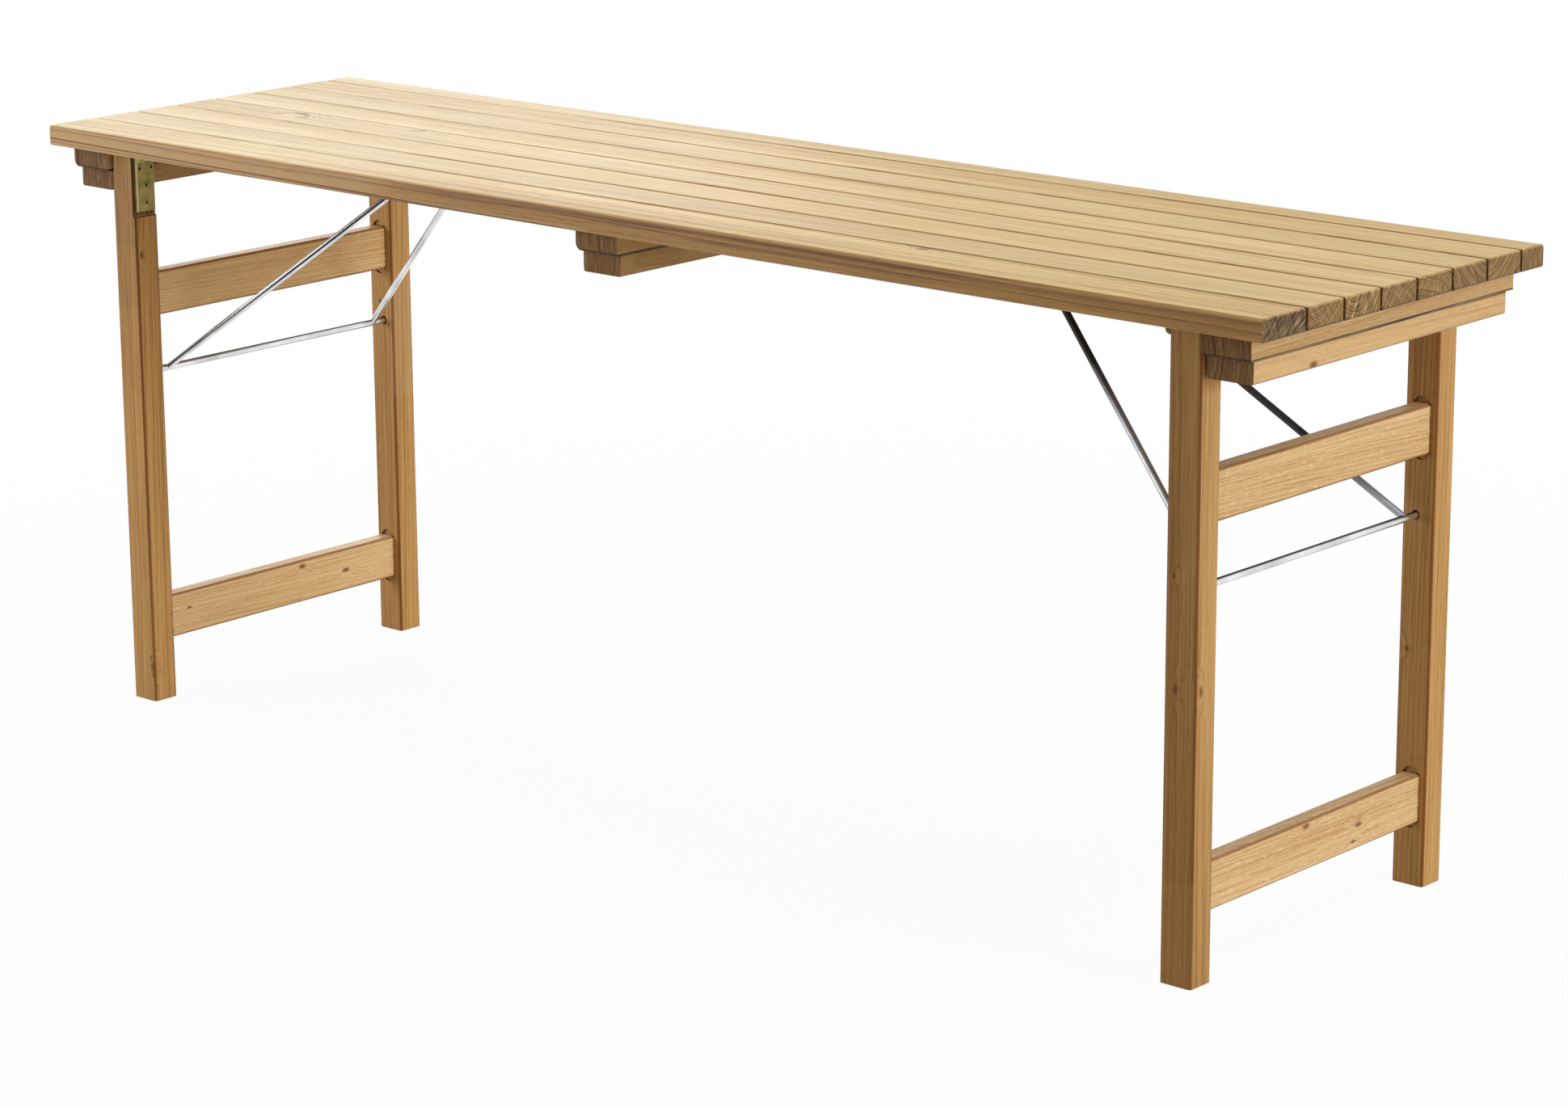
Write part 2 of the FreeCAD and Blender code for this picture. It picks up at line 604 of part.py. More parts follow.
def keeper(side):
    blank = new_body("keeper_blank")
    strip = sketch_on(blank, "XZ_Plane")
    rectangle(strip, "0", "sizes.nose_room", "sizes.keeper_length", "sizes.keeper_sheet")
    pad(blank, strip, "sizes.keeper_width")
    lip = sketch_on(blank, "YZ_Plane")
    rectangle(lip, "-sizes.keeper_width / 2", "sizes.nose_room", "sizes.keeper_width", "sizes.keeper_sheet")
    curl = blank.newObject("PartDesign::Revolution", "curl")
    curl.Profile = lip
    curl.ReferenceAxis = (lip, ["H_Axis"])
    curl.Reversed = True
    curl.setExpression("Angle", "sizes.keeper_wrap")
    doc.recompute()
    ridge = sketch_on(blank, "XZ_Plane")
    circle(ridge, "sizes.detent_reach", "sizes.nose_room", "sizes.keeper_sheet")
    pad(blank, ridge, "sizes.detent_width")
    heads = [Vector(size("keeper_screw_start") + number * size("keeper_screw_pitch"), 0, size("nose_room"))
             for number in range(KEEPER_SCREWS)]
    screw_down(blank, f"{SIDE_NAMES[side]}_stay_keeper", heads, UP, size("keeper_screw_length"),
               "keeper_screws", {"x": signed(side, "nose_x"), "z": "sizes.nose_z", "side": side})


for side in (LEFT, RIGHT):
    name = SIDE_NAMES[side]
    cross_rod(f"{name}_stay_bar", "bar_length", signed(side, "bar_x"), "sizes.stay_level")
    stay_arm(side, FRONT)
    stay_arm(side, BACK)
    cross_rod(f"{name}_stay_nose", "nose_length", signed(side, "nose_x"), "sizes.nose_z")
    keeper(side)

for label, screws in driven.items():
    group = doc.addObject("Part::Feature", label)
    group.Label = label
    group.Shape = Part.makeCompound(screws)
    nodes.append(group)

# Check every object and every piece before anything is written.
doc.recompute()
for item in doc.Objects:
    if "Invalid" in item.State or "Error" in item.State:
        raise RuntimeError(f"{item.Label} failed: {item.State}")
for piece in nodes:
    if piece.Shape.isNull() or not piece.Shape.isValid():
        raise RuntimeError(f"{piece.Label} has no valid shape")

os.makedirs("parts", exist_ok=True)
for piece in nodes:
    piece.Shape.exportStep(f"parts/{piece.Label}.step")
print(len(nodes), "pieces written")
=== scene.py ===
import math

import bmesh
import bpy
from mathutils import Matrix, Vector


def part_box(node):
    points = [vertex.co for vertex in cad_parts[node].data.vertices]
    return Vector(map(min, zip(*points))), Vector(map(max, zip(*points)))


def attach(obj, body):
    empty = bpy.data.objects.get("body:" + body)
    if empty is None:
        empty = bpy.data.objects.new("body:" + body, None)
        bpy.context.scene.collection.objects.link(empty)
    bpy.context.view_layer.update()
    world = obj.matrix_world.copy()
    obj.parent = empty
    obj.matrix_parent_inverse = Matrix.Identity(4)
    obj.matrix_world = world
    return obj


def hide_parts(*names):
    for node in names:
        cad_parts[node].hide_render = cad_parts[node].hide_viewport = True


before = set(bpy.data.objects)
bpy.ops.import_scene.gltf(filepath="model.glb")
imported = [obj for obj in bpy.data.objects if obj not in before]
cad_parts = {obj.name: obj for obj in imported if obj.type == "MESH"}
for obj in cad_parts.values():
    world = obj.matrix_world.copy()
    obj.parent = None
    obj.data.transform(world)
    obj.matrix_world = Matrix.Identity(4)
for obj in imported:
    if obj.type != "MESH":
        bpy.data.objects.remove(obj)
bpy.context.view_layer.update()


# Slats
# Eight planed oak boards laid lengthwise make the top, a wide one in front and a narrow one at the back.
# They lie 4 mm apart with their edges eased, and are oiled, so the grain shows and the top takes a
# soft sheen at a low angle. Screws from below hold them to the battens.
MM = 0.001
X, Y, Z = 0, 1, 2


def metres(sizes):
    """Sizes in millimetres, turned to metres."""
    return [size * MM for size in sizes]


def linear(hex_colour, tone=1.0):
    """An sRGB hex colour as linear red, green, blue and alpha, lighter or darker by a tone."""
    shares = [int(hex_colour[i:i + 2], 16) / 255 for i in (1, 3, 5)]
    return [tone * (s / 12.92 if s <= 0.04045 else ((s + 0.055) / 1.055) ** 2.4) for s in shares] + [1.0]


def add(tree, kind, settings, inputs):
    """Adds a shader node, sets it up, and links or fills its inputs. Numbers stand for inputs in their
    order: MapRange maps from 1 and 2 to 3 and 4, and Mix takes a share as 0 and two colours as 6 and 7."""
    made = tree.nodes.new("ShaderNode" + kind)
    for key, value in settings.items():
        setattr(made, key, value)
    for key, value in inputs.items():
        if isinstance(value, bpy.types.NodeSocket):
            tree.links.new(value, made.inputs[key])
        else:
            made.inputs[key].default_value = value
    return made


def new_material(name):
    """An empty node material."""
    material = bpy.data.materials.new(name)
    material.use_nodes = True
    material.node_tree.nodes.clear()
    return material


def dress(name, material):
    """Gives a CAD node its finish."""
    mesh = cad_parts[name].data
    mesh.materials.clear()
    mesh.materials.append(material)


# Oiled oak: growth rings round a heart that lies somewhere beside the board, so that the same rings
# make arcs on its ends and long flames and stripes on its faces. Their width and depth vary from year to
# year, and they bend round knots. Fine fibres run along the board, with short dark pores and pale ray
# flecks. The ends drink more oil and go darker and mottled where the saw tore them, and the eased edges
# are darkened with painted shade.
# Rings are drawn at 4 mm and fibres at 1.8 mm, about twice their real width, because finer ones don't show.
RING_WIDTH = 4 * MM
RING_WANDER = 9 * MM
YEARS_RUN = 9 * MM
YEARS_SPREAD = 2.2
LATE_WOOD_EDGE = 2.2
GOOD_YEARS, POOR_YEAR = (0.3, 0.62), 0.25
# Each pattern's length along the grain, width across it, and detail.
PATTERNS = {
    "wander": (700 * MM, 40 * MM, 1.5),
    "fibre": (130 * MM, 1.8 * MM, 3.0),
    "pore": (15 * MM, 1.1 * MM, 1.0),
    "patch": (800 * MM, 55 * MM, 1.0),
    "fleck": (11 * MM, 1.6 * MM, 1.0),
}
BOARD_STEP = 97
PORES, RAYS = (0.56, 0.74), (0.6, 0.72)
# How much each pattern adds to the depth of colour, from early wood at 0 to late wood at 1.
GROUND_DEPTH, EVEN_DEPTH, FIBRE_DEPTH, PATCH_DEPTH, PORE_DEPTH = 0.2, 0.8, 0.9, 0.75, 0.3
# How squarely a face looks along an axis where it starts and ends being an eased edge, a side or an end.
EASED, SIDEWAYS, ENDWISE = (0.985, 0.9), (0.5, 0.9), (0.45, 0.9)
SAW_STROKE = (3 * MM, 3 * MM, 22 * MM)
DARK_STROKES, DARK_STROKE_DEPTH = (0.45, 0.68), 0.75
PALE_STROKES, PALE_STROKE_DEPTH = (0.43, 0.3), 0.45
ARC_DEPTH = 0.8
# A knot's length in widths, and in radii from its middle, where it bends the rings and where it is dark.
KNOT_LENGTH, KNOT_BEND, KNOT_SWELL = 2.0, (5.0, 0.5), 2.5
KNOT_RIM, KNOT_DEPTH = (1.5, 0.4), 0.85
MARK_RIM, MARK_PATCHES, MARK_LEAST = (1.0, 0.9), (0.35, 0.6), 0.5
OIL_IOR, OIL_ROUGHNESS, END_ROUGHER = 1.47, (0.42, 0.58), 0.2
GRAIN_BUMP, GRAIN_HEIGHT = 0.25, 0.4 * MM
HONEY_OAK = ("#e4c786", "#b28746")
END_OIL, END_ARC, SIDE_OIL, SIDE_LINE = "#b5a592", "#5c4430", "#dfc8a4", "#b8966e"
# The near-black brown below is painted shade for gaps, seams, rebates, joints and places under the top; the
# edge colour beside it is painted shade on eased edges.
KNOT, PAINTED_SHADE, ARRIS_SHADE, FLECK = "#6b3f1c", "#2c1a0c", "#a8825a", "#f3dcae"
PAINT = {"data_type": "RGBA"}
STAIN = {"data_type": "RGBA", "blend_type": "MULTIPLY"}


def largest(tree, vector):
    """The largest of a vector's three shares, whatever their signs."""
    plain = add(tree, "VectorMath", {"operation": "ABSOLUTE"}, {0: vector})
    split = add(tree, "SeparateXYZ", {}, {0: plain.outputs[0]})
    most = add(tree, "Math", {"operation": "MAXIMUM"}, {0: split.outputs[X], 1: split.outputs[Y]})
    return add(tree, "Math", {"operation": "MAXIMUM"}, {0: most.outputs[0], 1: split.outputs[Z]}).outputs[0]


def oiled_oak(name, grain, heart, lean, shades, tone=1.0, gloss=0.5, contrast=1.0, figure=0.5, flecked=0.0,
              edge_shade=0.6, ends=1.0, sawn=0.0, torn=1.0, sides=0.0, knots=(), marked=()):
    """Oak with its grain along one axis, round the tree's heart, which leans by degrees about each axis.
    A knot has a middle and a radius. A mark is a box of colour: its middle, half size, strength and colour.
    Most marks are painted shade or painted light, and a few are grain lines, scuffs and bleaching. Places and
    sizes are in millimetres."""
    material = new_material(name)
    tree = material.node_tree
    place = add(tree, "TexCoord", {}, {})
    spot, normal = place.outputs["Object"], place.outputs["Normal"]
    along = [float(axis == grain) for axis in (X, Y, Z)]
    across = [1 - share for share in along]

    noise = {}
    for use, (run, width, detail) in PATTERNS.items():
        rate = [1 / run if axis == grain else 1 / width for axis in (X, Y, Z)]
        stretched = add(tree, "VectorMath", {"operation": "MULTIPLY"}, {0: spot, 1: rate})
        moved = add(tree, "VectorMath", {"operation": "ADD"},
                    {0: stretched.outputs[0], 1: [v * BOARD_STEP for v in metres(heart)]})
        noise[use] = add(tree, "TexNoise", {}, {"Vector": moved.outputs[0], "Scale": 1.0, "Detail": detail})
    slanting = add(tree, "VectorRotate", {"rotation_type": "AXIS_ANGLE"},
                   {"Vector": spot, "Axis": along, "Angle": math.radians(sawn)})
    strokes = add(tree, "VectorMath", {"operation": "DIVIDE"}, {0: slanting.outputs[0], 1: SAW_STROKE})
    saw = add(tree, "TexNoise", {}, {"Vector": strokes.outputs[0], "Scale": 1.0, "Detail": 2.0})

    knot_spreads = []
    for middle, radius in knots:
        reach = [KNOT_LENGTH * radius if axis == grain else radius for axis in (X, Y, Z)]
        away = add(tree, "VectorMath", {"operation": "SUBTRACT"}, {0: spot, 1: metres(middle)})
        scaled = add(tree, "VectorMath", {"operation": "DIVIDE"}, {0: away.outputs[0], 1: metres(reach)})
        length = add(tree, "VectorMath", {"operation": "LENGTH"}, {0: scaled.outputs[0]})
        knot_spreads.append((length.outputs["Value"], radius * MM))

    off_heart = add(tree, "VectorMath", {"operation": "SUBTRACT"}, {0: spot, 1: metres(heart)})
    leaning = add(tree, "VectorRotate", {"rotation_type": "EULER_XYZ"},
                  {"Vector": off_heart.outputs[0], "Rotation": [math.radians(v) for v in lean]})
    sway = add(tree, "VectorMath", {"operation": "MULTIPLY_ADD"},
               {0: noise["wander"].outputs["Color"], 1: [RING_WANDER] * 3, 2: leaning.outputs[0]})
    flat = add(tree, "VectorMath", {"operation": "MULTIPLY"}, {0: sway.outputs[0], 1: across})
    out = add(tree, "VectorMath", {"operation": "LENGTH"}, {0: flat.outputs[0]}).outputs["Value"]
    for spread, radius in knot_spreads:
        swell = add(tree, "MapRange", {"interpolation_type": "SMOOTHSTEP"},
                    {"Value": spread, 1: KNOT_BEND[0], 2: KNOT_BEND[1], 4: KNOT_SWELL * radius})
        out = add(tree, "Math", {"operation": "ADD"}, {0: out, 1: swell.outputs[0]}).outputs[0]
    age = add(tree, "Math", {"operation": "DIVIDE"}, {0: out, 1: YEARS_RUN})
    years = add(tree, "TexNoise", {"noise_dimensions": "1D"},
                {"W": age.outputs[0], "Scale": 1.0, "Detail": 1.0})
    spaced = add(tree, "Math", {"operation": "MULTIPLY_ADD"},
                 {0: years.outputs["Fac"], 1: YEARS_SPREAD * RING_WIDTH, 2: out})
    count = add(tree, "Math", {"operation": "DIVIDE"}, {0: spaced.outputs[0], 1: RING_WIDTH})
    ring = add(tree, "Math", {"operation": "FRACT"}, {0: count.outputs[0]})
    sharp = add(tree, "Math", {"operation": "POWER"}, {0: ring.outputs[0], 1: LATE_WOOD_EDGE})
    good = add(tree, "MapRange", {},
               {"Value": years.outputs["Color"], 1: GOOD_YEARS[0], 2: GOOD_YEARS[1], 3: POOR_YEAR})
    late = add(tree, "Math", {"operation": "MULTIPLY"}, {0: sharp.outputs[0], 1: good.outputs[0]})

    depth = add(tree, "Math", {"operation": "MULTIPLY_ADD"},
                {0: late.outputs[0], 1: figure, 2: GROUND_DEPTH - EVEN_DEPTH * contrast})
    depth = add(tree, "Math", {"operation": "MULTIPLY_ADD"},
                {0: noise["fibre"].outputs["Fac"], 1: FIBRE_DEPTH * contrast, 2: depth.outputs[0]})
    depth = add(tree, "Math", {"operation": "MULTIPLY_ADD"},
                {0: noise["patch"].outputs["Fac"], 1: PATCH_DEPTH * contrast, 2: depth.outputs[0]})
    pores = add(tree, "MapRange", {}, {"Value": noise["pore"].outputs["Fac"], 1: PORES[0], 2: PORES[1]})
    depth = add(tree, "Math", {"operation": "MULTIPLY_ADD", "use_clamp": True},
                {0: pores.outputs[0], 1: PORE_DEPTH, 2: depth.outputs[0]})
    early, dark = [linear(shade, tone) for shade in shades]
    colour = add(tree, "Mix", PAINT, {0: depth.outputs[0], 6: early, 7: dark})
    rays = add(tree, "MapRange", {},
               {"Value": noise["fleck"].outputs["Fac"], 1: RAYS[0], 2: RAYS[1], 4: flecked})
    colour = add(tree, "Mix", PAINT, {0: rays.outputs[0], 6: colour.outputs[2], 7: linear(FLECK)})

    # Eased and rounded edges, where faces turn off the axes, are darkened with painted shade.
    flatness = largest(tree, normal)
    eased = add(tree, "MapRange", {}, {"Value": flatness, 1: EASED[0], 2: EASED[1], 4: edge_shade})
    colour = add(tree, "Mix", STAIN, {0: eased.outputs[0], 6: colour.outputs[2], 7: linear(ARRIS_SHADE)})
    aside = add(tree, "VectorMath", {"operation": "DOT_PRODUCT"}, {0: normal, 1: (0.0, 1.0, 0.0)})
    aside = add(tree, "Math", {"operation": "ABSOLUTE"}, {0: aside.outputs["Value"]})
    aside = add(tree, "MapRange", {}, {"Value": aside.outputs[0], 1: SIDEWAYS[0], 2: SIDEWAYS[1], 4: sides})
    colour = add(tree, "Mix", STAIN, {0: aside.outputs[0], 6: colour.outputs[2], 7: linear(SIDE_OIL)})

    end = add(tree, "VectorMath", {"operation": "DOT_PRODUCT"}, {0: normal, 1: along})
    end = add(tree, "Math", {"operation": "ABSOLUTE"}, {0: end.outputs["Value"]})
    end = add(tree, "MapRange", {}, {"Value": end.outputs[0], 1: ENDWISE[0], 2: ENDWISE[1]})
    colour = add(tree, "Mix", STAIN, {0: end.outputs[0], 6: colour.outputs[2], 7: linear(END_OIL, ends)})
    torn_dark = add(tree, "MapRange", {},
                    {"Value": saw.outputs["Fac"], 1: DARK_STROKES[0], 2: DARK_STROKES[1],
                     4: DARK_STROKE_DEPTH * torn})
    arcs = add(tree, "Math", {"operation": "MULTIPLY_ADD", "use_clamp": True},
               {0: late.outputs[0], 1: ARC_DEPTH, 2: torn_dark.outputs[0]})
    arcs = add(tree, "Math", {"operation": "MULTIPLY"}, {0: end.outputs[0], 1: arcs.outputs[0]})
    colour = add(tree, "Mix", STAIN, {0: arcs.outputs[0], 6: colour.outputs[2], 7: linear(END_ARC)})
    torn_pale = add(tree, "MapRange", {},
                    {"Value": saw.outputs["Fac"], 1: PALE_STROKES[0], 2: PALE_STROKES[1],
                     4: PALE_STROKE_DEPTH * torn})
    torn_pale = add(tree, "Math", {"operation": "MULTIPLY"}, {0: end.outputs[0], 1: torn_pale.outputs[0]})
    colour = add(tree, "Mix", PAINT,
                 {0: torn_pale.outputs[0], 6: colour.outputs[2], 7: linear(FLECK, ends)})

    for spread, radius in knot_spreads:
        share = add(tree, "MapRange", {"interpolation_type": "SMOOTHSTEP"},
                    {"Value": spread, 1: KNOT_RIM[0], 2: KNOT_RIM[1], 4: KNOT_DEPTH})
        colour = add(tree, "Mix", PAINT, {0: share.outputs[0], 6: colour.outputs[2], 7: linear(KNOT)})
    patchy = add(tree, "MapRange", {}, {"Value": noise["fibre"].outputs["Fac"],
                                        1: MARK_PATCHES[0], 2: MARK_PATCHES[1], 3: MARK_LEAST})
    # Boxes of painted shade and painted light, and a few of grain lines, scuffs and bleaching, are laid over
    # the wood.
    for middle, half, strength, shade in marked:
        away = add(tree, "VectorMath", {"operation": "SUBTRACT"}, {0: spot, 1: metres(middle)})
        scaled = add(tree, "VectorMath", {"operation": "DIVIDE"}, {0: away.outputs[0], 1: metres(half)})
        inside = add(tree, "MapRange", {}, {"Value": largest(tree, scaled.outputs[0]),
                                            1: MARK_RIM[0], 2: MARK_RIM[1], 4: strength})
        share = add(tree, "Math", {"operation": "MULTIPLY"}, {0: inside.outputs[0], 1: patchy.outputs[0]})
        colour = add(tree, "Mix", PAINT, {0: share.outputs[0], 6: colour.outputs[2], 7: linear(shade)})
    lines = add(tree, "Math", {"operation": "MULTIPLY"}, {0: late.outputs[0], 1: aside.outputs[0]})
    colour = add(tree, "Mix", STAIN, {0: lines.outputs[0], 6: colour.outputs[2], 7: linear(SIDE_LINE)})

    rough = add(tree, "MapRange", {}, {"Value": depth.outputs[0], 3: OIL_ROUGHNESS[0], 4: OIL_ROUGHNESS[1]})
    rough = add(tree, "Math", {"operation": "MULTIPLY_ADD"},
                {0: end.outputs[0], 1: END_ROUGHER, 2: rough.outputs[0]})
    bump = add(tree, "Bump", {},
               {"Height": depth.outputs[0], "Strength": GRAIN_BUMP, "Distance": GRAIN_HEIGHT})
    shader = add(tree, "BsdfPrincipled", {}, {"Base Color": colour.outputs[2], "Roughness": rough.outputs[0],
                                              "IOR": OIL_IOR, "Specular IOR Level": gloss,
                                              "Normal": bump.outputs[0]})
    add(tree, "OutputMaterial", {}, {"Surface": shader.outputs[0]})
    return material


# Each slat's heart across and up, the lean of its tree, and what sets its board apart from the others.
SLAT_BOARDS = {
    "slat_1": ((-310, 668), 0.5, {"shades": ("#ecd08a", "#a37436"), "tone": 1.07, "contrast": 1.05,
                                  "figure": 0.95, "ends": 0.55, "sawn": 52, "torn": 1.2}),
    "slat_2": ((-186, 768), -0.8, {"tone": 0.95, "sawn": -40, "torn": 0.4}),
    "slat_3": ((-84, 716), 0.3, {"tone": 1.05, "ends": 1.05, "sawn": 30, "torn": 1.1}),
    "slat_4": ((38, 652), 0.9, {"tone": 0.98, "figure": 0.75, "sawn": -46}),
    "slat_5": ((12, 640), -0.5, {"tone": 1.04, "sawn": 25}),
    "slat_6": ((176, 742), 0.7, {"tone": 0.96, "sawn": -35}),
    "slat_7": ((118, 776), -0.9, {"tone": 1.01, "figure": 0.75, "sawn": 40}),
    "slat_8": ((284, 668), 0.4, {"tone": 0.97}),
}
SLAT_FINISH = {"shades": HONEY_OAK, "figure": 0.6, "edge_shade": 0.1, "ends": 0.9, "torn": 0.5, "sides": 1.0}
slat_boxes = [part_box(slat) for slat in SLAT_BOARDS]
gap_middles = [(before[1][Y] + after[0][Y]) / 2 / MM for before, after in zip(slat_boxes, slat_boxes[1:])]
front_face = slat_boxes[0][0][Y] / MM
end_face = slat_boxes[0][1][X] / MM
underside, top_face = slat_boxes[0][0][Z] / MM, slat_boxes[0][1][Z] / MM
SLAT_KNOTS = {
    "slat_1": [((422, -185, top_face), 4)],
    "slat_4": [((-724, 5, top_face), 6), ((-520, 12, top_face), 3)],
}
# Painted sheen pales the gaps along their tops at the left end, and painted shade darkens them towards the
# right end. The front edge gets painted light at the left end and painted shade towards the right, with two
# dark grain lines along its middle, and a line of painted shade lies along the lower corners of the ends.
ALL_ALONG = 2000
PAINTED_SHEEN, BLEACH_AND_PAINTED_LIGHT, FRONT_SHADE, DARK_GRAIN = "#fff1d2", "#d8c8ae", "#6a4316", "#6b3a10"
# Pale painted sheen along the gaps' tops at the left end.
GAP_SHEEN = [((-end_face, middle, top_face - 1), (reach, 3.6, 2.5), strength, PAINTED_SHEEN)
            for middle in gap_middles for reach, strength in ((520, 0.8), (860, 0.4))]
# Painted shade in the gaps, growing towards the right end.
GAP_SHADE = [((end_face, middle, top_face - down), half, strength, PAINTED_SHADE)
           for middle in gap_middles
           for down, half, strength in ((16, (950, 2.4, 14), 0.3), (12, (600, 2.6, 13), 0.6))]
# A line of painted shade along the lower corners of the ends, over the battens.
END_CORNER_SHADE = ((end_face, 0, underside), (3, ALL_ALONG, 2.5), 0.7, PAINTED_SHADE)
# The front edge gets painted light at the left end and painted shade towards the right end.
FRONT_EDGE = [((at, front_face, underside + 11), (reach, 4, 12), strength, shade)
              for at, reach, strength, shade in ((-end_face, 600, 0.25, BLEACH_AND_PAINTED_LIGHT),
                                                 (end_face, 1250, 0.27, FRONT_SHADE),
                                                 (end_face, 650, 0.18, FRONT_SHADE))]
FRONT_LINES = [((at, front_face, underside + up), (reach, 1.5, half), strength, shade)
               for at, reach, up, half, strength, shade in ((230, 380, 18.5, 1.5, 0.6, DARK_GRAIN),
                                                            (120, 430, 18.5, 2.2, 0.3, DARK_GRAIN),
                                                            (330, 190, 10.5, 0.9, 0.6, DARK_GRAIN),
                                                            (-150, 160, 2.5, 2.2, 0.3, BLEACH_AND_PAINTED_LIGHT))]
for slat, (low, high) in zip(SLAT_BOARDS, slat_boxes):
    heart, lean, board = SLAT_BOARDS[slat]
    marks = [mark for mark in GAP_SHEEN + GAP_SHADE
             if low[Y] / MM - 4 < mark[0][Y] < high[Y] / MM + 4] + [END_CORNER_SHADE]
    if slat == "slat_1":
        marks += FRONT_EDGE + FRONT_LINES
    wood = oiled_oak(f"oiled_oak_{slat}", X, (0, *heart), (0, lean, lean), knots=SLAT_KNOTS.get(slat, ()),
                     marked=marks, **{**SLAT_FINISH, **board})
    dress(slat, wood)


# Battens
# Three pairs of cross battens hold the slats together: a wide one against them and a narrower one
# below it, both of oiled oak, stopped short of the edges of the top so they stay out of sight.
# Painted shade darkens the seams between them and a band just under the slats.
BATTEN_HEARTS = {
    "left_upper_batten": (-1140, 650), "middle_upper_batten": (290, 690), "right_upper_batten": (560, 640),
    "left_lower_batten": (-590, 660), "middle_lower_batten": (-240, 670), "right_lower_batten": (1030, 610),
}
# The right upper batten's lower tone is painted shade from the slats' overhang.
BATTEN_TONES_AND_SHADE = {"left_upper_batten": 0.75, "left_lower_batten": 0.8, "right_upper_batten": 0.8}
BATTEN_LEAN = (0.8, 0.0, 0.6)
PALE_OAK = ("#e2bf89", "#b3844b")
BATTEN_KNOTS = {"right_lower_batten": [((871.5, -123, 640), 3.5)]}
# Lines of painted shade lie at the seam between the battens and just under the slats.
batten_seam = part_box("middle_upper_batten")[0][Z] / MM
SEAM_SHADE_LEVELS = {"upper": (batten_seam, underside), "lower": (batten_seam,)}
SEAM_SHADE_HALF = (ALL_ALONG, ALL_ALONG, 2.2)
for batten, (across, up) in BATTEN_HEARTS.items():
    seam_shade = [((0, 0, level), SEAM_SHADE_HALF, 1.0, PAINTED_SHADE) for level in SEAM_SHADE_LEVELS[batten.split("_")[1]]]
    wood = oiled_oak(f"oiled_oak_{batten}", Y, (across, 0, up), BATTEN_LEAN, PALE_OAK,
                     tone=BATTEN_TONES_AND_SHADE.get(batten, 0.94), gloss=0.3, contrast=1.2, flecked=0.2, ends=0.95,
                     torn=0.3, knots=BATTEN_KNOTS.get(batten, ()), marked=seam_shade)
    dress(batten, wood)


# Legs
# Four square oak legs stand in two pairs, their long edges eased. A shallow rebate at the top of each
# takes the hinge leaf, and painted shade darkens it. The stay bar turns in a drilled hole.
LEG_HEARTS = {
    "left_front_leg": (-848, -262), "left_back_leg": (-836, 158), "right_front_leg": (742, -178),
    "right_back_leg": (852, 262),
}
LEG_TONES = {"left_front_leg": 1.15, "left_back_leg": 1.15, "right_front_leg": 0.92, "right_back_leg": 1.06}
LEG_LEAN = (0.7, -0.5, 0.0)
GOLDEN_OAK = ("#cb9f63", "#95682f")
LEG_KNOTS = {
    "left_front_leg": [((-772.2, -221, 561), 2.4), ((-778, -228, 55), 2), ((-776.2, -228, 44), 3),
                       ((-775.3, -227.6, 34), 2), ((-772.2, -195, 105), 2), ((-772.2, -195, 83), 2)],
    "left_back_leg": [((-795.5, 193, 437), 2)],
    "right_front_leg": [((787, -228, 314), 3), ((812.2, -219, 314), 3), ((783, -228, 431), 1.8)],
    "right_back_leg": [((783, 193, 264), 2.2)],
}
# Painted shade darkens the upper ends of the front legs under the top, feet have rubbed their lower ends
# paler, and one patch of the left back leg is bleached.
SCUFFED = "#c89c62"
LEG_SHADE_AND_WEAR = {
    "left_front_leg": [((-792.2, -228, 690 - reach), (21, 3, reach), strength, PAINTED_SHADE)
                       for reach, strength in ((60, 0.18), (100, 0.14), (150, 0.08))]
                      + [((-792.2, -228, 40), (21, 3, 70), 0.1, SCUFFED)],
    "left_back_leg": [((-772.2, 210.5, 390), (3, 19, 80), 0.12, BLEACH_AND_PAINTED_LIGHT)],
    "right_front_leg": [((792.2, -210.5, 600), (21, 19, 150), 0.09, PAINTED_SHADE),
                        ((792.2, -228, 40), (21, 3, 75), 0.22, SCUFFED)],
    "right_back_leg": [],
}
# The left rebates run open across the legs, and the right ones are stopped pockets.
REBATE_FACE, REBATE_FOOT, REBATE_TOP, REBATE_RIM = 776.7, 607, 686, 0.6
REBATE_HALF_WIDTH = {"left": 30, "right": 14.6}
REBATE_HALF_DEPTH = 5.2
for leg, (across, deep) in LEG_HEARTS.items():
    side = leg.split("_")[0]
    low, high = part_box(leg)
    inward = 1 if side == "left" else -1
    # The rebate gets a box of painted shade.
    rebate_middle = (inward * (REBATE_HALF_DEPTH - 1 - REBATE_FACE), (low[Y] + high[Y]) / 2 / MM,
                     (REBATE_FOOT + REBATE_TOP) / 2)
    rebate_half = (REBATE_HALF_DEPTH, REBATE_HALF_WIDTH[side], (REBATE_TOP - REBATE_FOOT) / 2 + REBATE_RIM)
    wood = oiled_oak(f"oiled_oak_{leg}", Z, (across, deep, 0), LEG_LEAN, GOLDEN_OAK, tone=LEG_TONES[leg],
                     gloss=0.25, contrast=1.5, figure=0.65, edge_shade=0.9, knots=LEG_KNOTS[leg],
                     marked=[(rebate_middle, rebate_half, 0.95, PAINTED_SHADE)] + LEG_SHADE_AND_WEAR[leg])
    dress(leg, wood)


